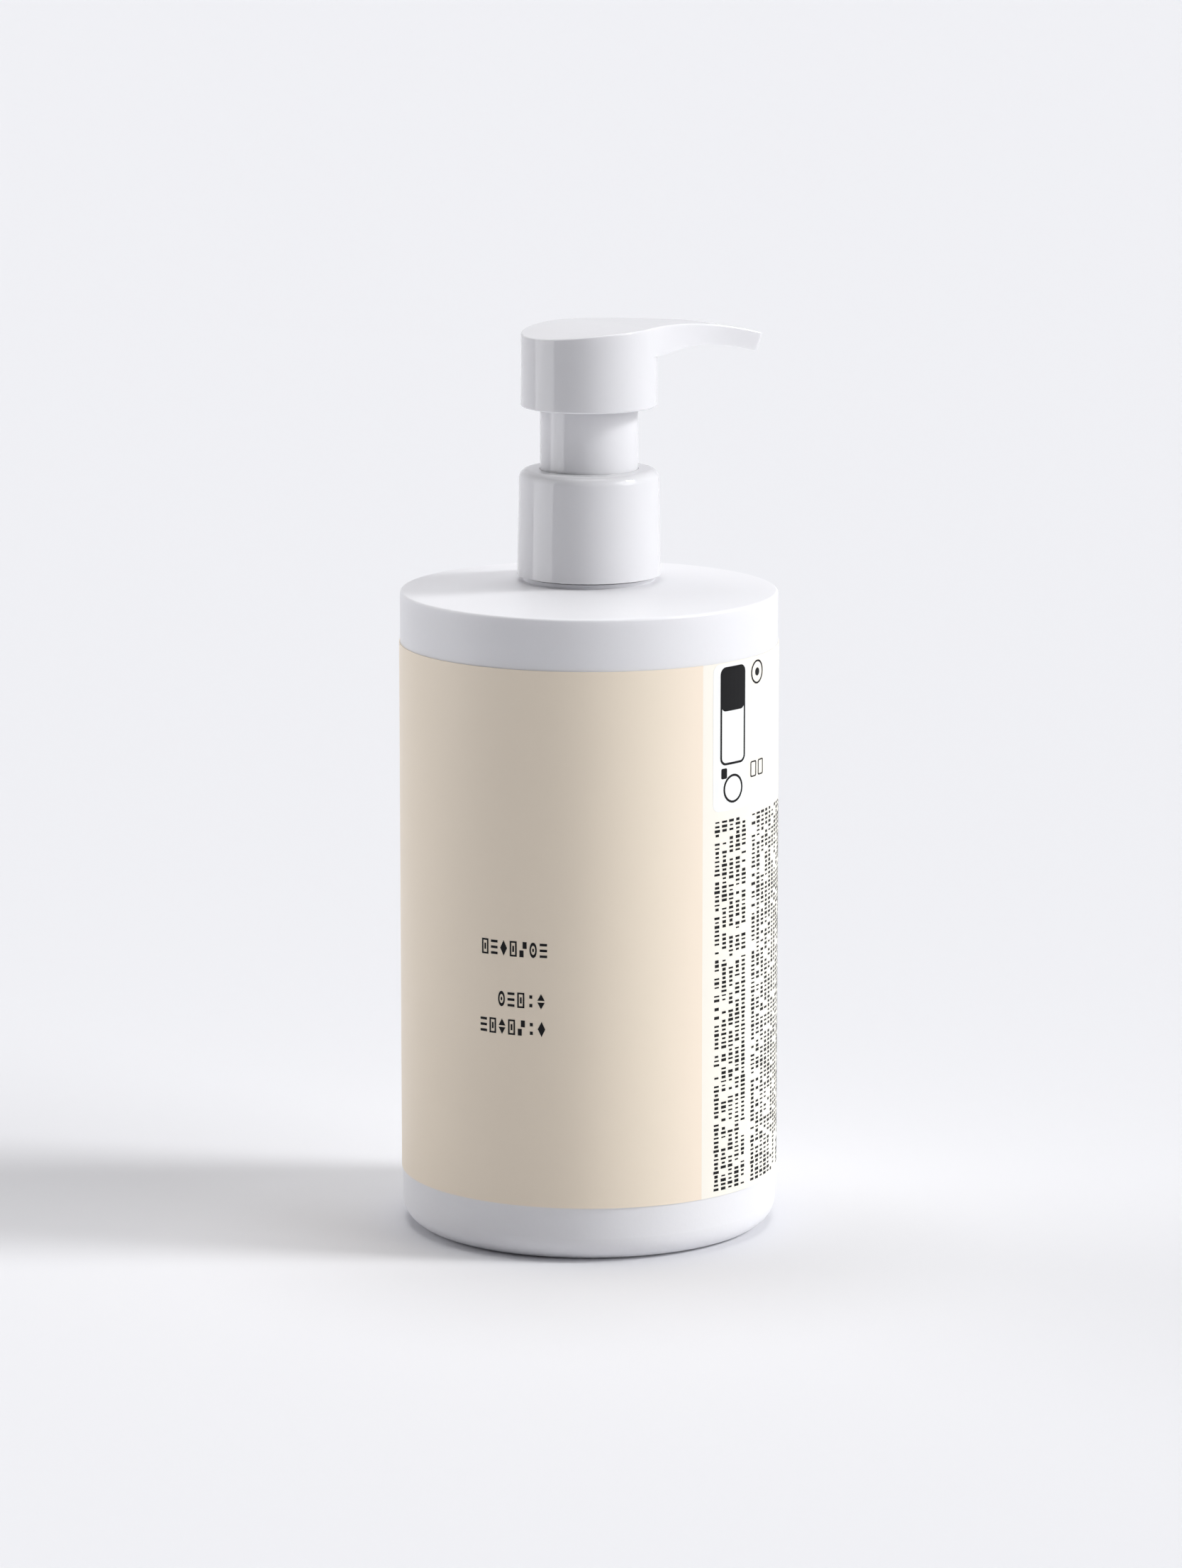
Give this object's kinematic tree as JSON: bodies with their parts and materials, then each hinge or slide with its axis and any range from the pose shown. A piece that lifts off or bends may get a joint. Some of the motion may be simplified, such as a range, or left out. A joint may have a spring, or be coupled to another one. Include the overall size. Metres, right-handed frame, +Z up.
{
  "type": "pump bottle",
  "caption": "Round shampoo bottle with a wrap label and a screw-on lotion pump whose head presses down, swivels and unscrews.",
  "frame": {"origin": "centre of the bottle's base, on the floor it stands on", "axes": "+Z up along the bottle's axis, +X along the nozzle at rest"},
  "size_m": [0.0771, 0.0764, 0.183],
  "materials": {
    "bottle_hdpe": "satin white polyethylene",
    "label_film": "satin cream film",
    "pump_pp": "gloss white polypropylene",
    "gasket_foam": "matt foamed polyethylene",
    "housing_pp": "natural translucent polypropylene",
    "ball_steel": "polished stainless steel",
    "tube_pe": "natural polyethylene",
    "spring_steel": "drawn stainless wire"
  },
  "bodies": {
    "bottle": {"bottle": "bottle_hdpe", "wrap_label": "label_film"},
    "pump": {"pump_housing": "housing_pp", "guide_sleeve": "pump_pp", "neck_gasket": "gasket_foam", "dip_tube": "tube_pe"},
    "collar": {"screw_collar": "pump_pp"},
    "ball": {"inlet_ball": "ball_steel"},
    "piston": {"piston": "tube_pe", "return_spring": "spring_steel"},
    "head": {"pump_head": "pump_pp", "pump_stem": "pump_pp", "stem_plug": "pump_pp"}
  },
  "joints": [
    {"name": "closure_lift", "type": "slide", "parent": "bottle", "child": "pump", "axis": [0, 0, 1], "range_m": [0, 0.00476]},
    {"name": "collar_turn", "type": "hinge", "parent": "pump", "child": "collar", "pos_m": [0, 0, 0.14], "axis": [0, 0, 1], "range_deg": [0, 540]},
    {"name": "pump_stroke", "type": "slide", "parent": "pump", "child": "piston", "axis": [0, 0, -1], "range_m": [0, 0.0116], "stiffness_N_per_m": 900, "springref_m": -0.004, "deforming": ["return_spring"]},
    {"name": "head_swivel", "type": "hinge", "parent": "piston", "child": "head", "pos_m": [0, 0, 0.17], "axis": [0, 0, 1], "continuous": true},
    {"name": "ball_lift", "type": "slide", "parent": "pump", "child": "ball", "axis": [0, 0, 1], "range_m": [0, 0.0015]}
  ],
  "couplings": [
    {"joint": "collar_turn", "follows": "closure_lift", "rad_per_m": 1979}
  ]
}
